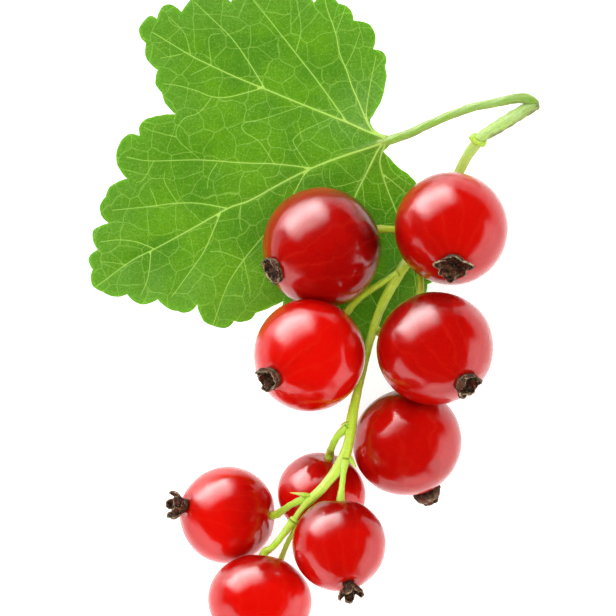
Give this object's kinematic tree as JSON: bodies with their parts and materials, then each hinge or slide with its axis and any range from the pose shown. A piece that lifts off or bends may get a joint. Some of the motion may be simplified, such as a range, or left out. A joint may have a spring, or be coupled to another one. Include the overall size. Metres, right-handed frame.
{
  "type": "sprig of redcurrants",
  "caption": "Cut sprig of redcurrants lying on its side: glossy round berries with dried calyces on a drooping stem, and one lobed leaf on its own petiole.",
  "frame": {"origin": "middle of the bounding box's underside, on the surface that the sprig lies on", "axes": "+Z up from the surface; +Y along the strig, from the last berry towards the spur shoot; +X to the right, seen from above with +Y up"},
  "size_m": [0.0452, 0.0674, 0.0163],
  "materials": {
    "berry_skin": "smooth, glossy, slightly translucent skin",
    "dried_calyx": "dry, wrinkled",
    "stem_green": "smooth green stalk with a faint sheen",
    "bark_green": "finely hairy green shoot",
    "leaf_green": "satin leaf with a net of pale veins",
    "bract_green": "thin pale scales"
  },
  "bodies": {
    "root": {"berry_1": "berry_skin", "berry_2": "berry_skin", "berry_3": "berry_skin", "berry_4": "berry_skin", "berry_5": "berry_skin", "berry_6": "berry_skin", "berry_7": "berry_skin", "berry_8": "berry_skin", "berry_9": "berry_skin", "calyx_1": "dried_calyx", "calyx_2": "dried_calyx", "calyx_3": "dried_calyx", "calyx_4": "dried_calyx", "calyx_5": "dried_calyx", "calyx_6": "dried_calyx", "calyx_7": "dried_calyx", "calyx_8": "dried_calyx", "calyx_9": "dried_calyx", "pedicel_1": "stem_green", "pedicel_2": "stem_green", "pedicel_3": "stem_green", "pedicel_4": "stem_green", "pedicel_5": "stem_green", "pedicel_6": "stem_green", "pedicel_7": "stem_green", "pedicel_8": "stem_green", "pedicel_9": "stem_green", "pedicel_bare": "stem_green", "main_stem": "stem_green", "spur_shoot": "bark_green", "leaf_petiole": "bark_green", "leaf_blade": "leaf_green", "bud_collar": "bract_green", "bract_upper": "bract_green", "bract_middle": "bract_green", "bract_lower": "bract_green"}
  },
  "joints": []
}
